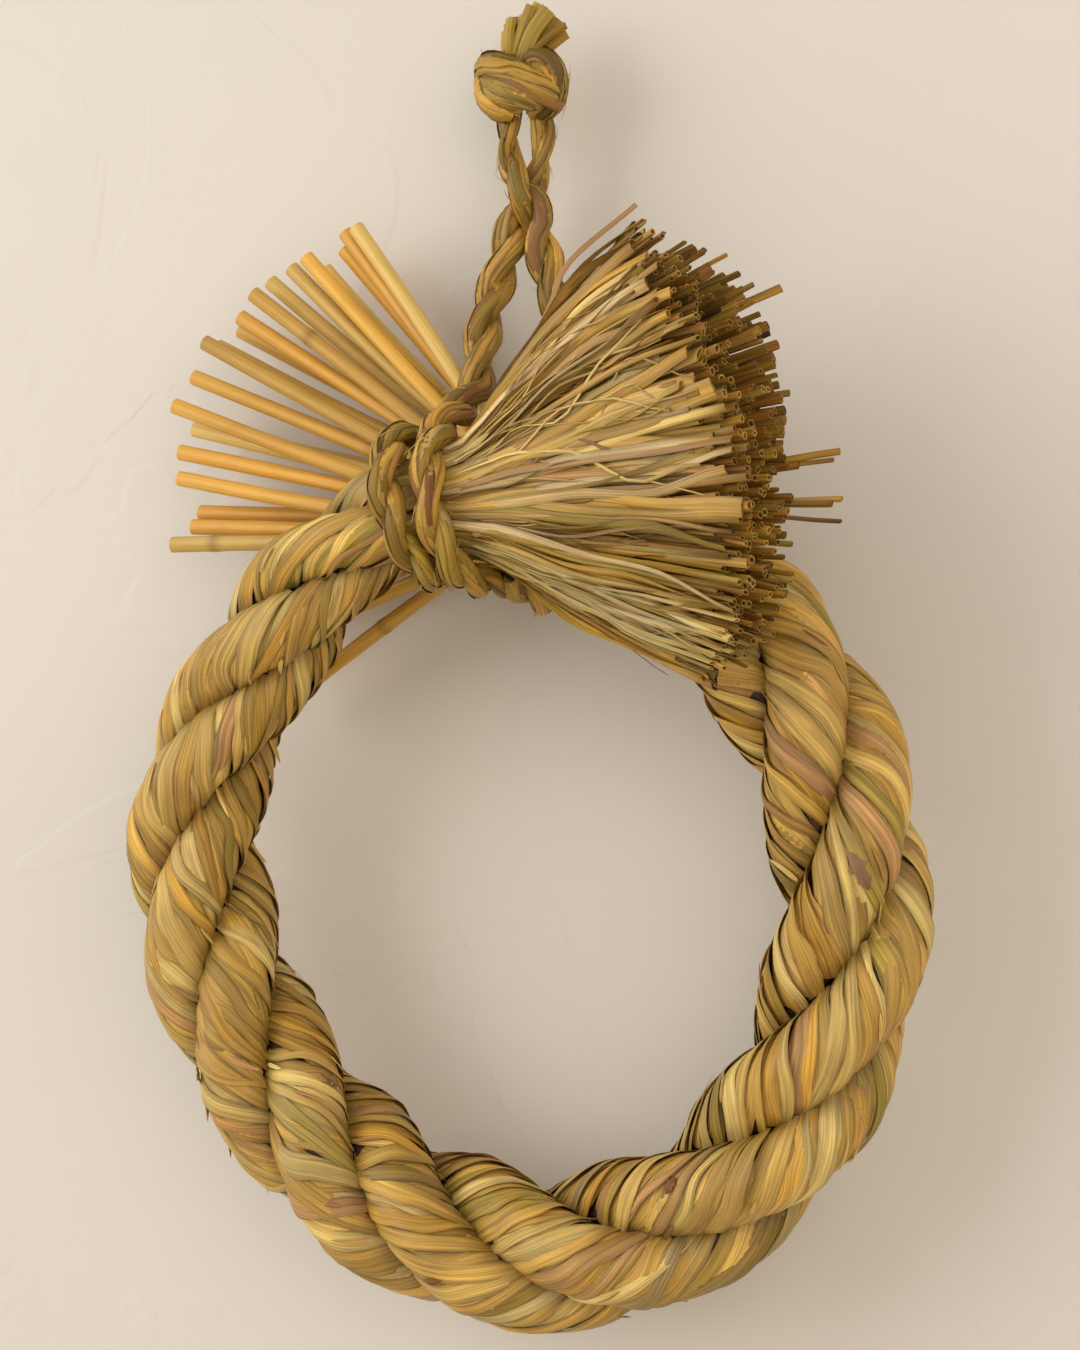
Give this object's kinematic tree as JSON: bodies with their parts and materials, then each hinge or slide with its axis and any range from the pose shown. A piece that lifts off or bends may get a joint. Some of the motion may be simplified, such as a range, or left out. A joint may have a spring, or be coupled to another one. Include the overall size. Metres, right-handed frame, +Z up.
{
  "type": "straw rope wreath ornament",
  "caption": "Wall ornament of thick twisted straw rope closed into a ring, with a brush and a fan of loose straw at the crossing and a knotted cord to hang it by.",
  "frame": {"origin": "centre of the eye between the two sides of the hanging cord, just under the knot", "axes": "+Z up along the hanging cord, +Y towards the wall behind, +X to the right seen from the front"},
  "size_m": [0.2568, 0.1113, 0.4025],
  "materials": {
    "rope_straw": "dry flattened rice straw, matte with a faint satin along the fibres",
    "cord_straw": "tightly twisted rice straw, matte, slightly greenish",
    "brush_straw": "loose dry straws, pale and matte, with darker cut ends",
    "fan_straw": "smooth golden stems, satin"
  },
  "bodies": {
    "root": {"rope_strand_1": "rope_straw", "rope_strand_2": "rope_straw", "rope_strand_3": "rope_straw", "binding_cord": "cord_straw", "hanging_cord": "cord_straw", "straw_brush": "brush_straw", "fan_stem_01": "fan_straw", "fan_stem_02": "fan_straw", "fan_stem_03": "fan_straw", "fan_stem_04": "fan_straw", "fan_stem_05": "fan_straw", "fan_stem_06": "fan_straw", "fan_stem_07": "fan_straw", "fan_stem_08": "fan_straw", "fan_stem_09": "fan_straw", "fan_stem_10": "fan_straw", "fan_stem_11": "fan_straw", "fan_stem_12": "fan_straw", "fan_stem_13": "fan_straw", "fan_stem_14": "fan_straw", "fan_stem_15": "fan_straw", "fan_stem_16": "fan_straw", "fan_stem_17": "fan_straw", "fan_stem_18": "fan_straw", "fan_stem_19": "fan_straw", "fan_stem_20": "fan_straw", "fan_stem_21": "fan_straw", "fan_stem_22": "fan_straw", "fan_stem_23": "fan_straw", "fan_stem_24": "fan_straw", "fan_stem_25": "fan_straw", "fan_stem_26": "fan_straw", "fan_stem_27": "fan_straw"}
  },
  "joints": []
}
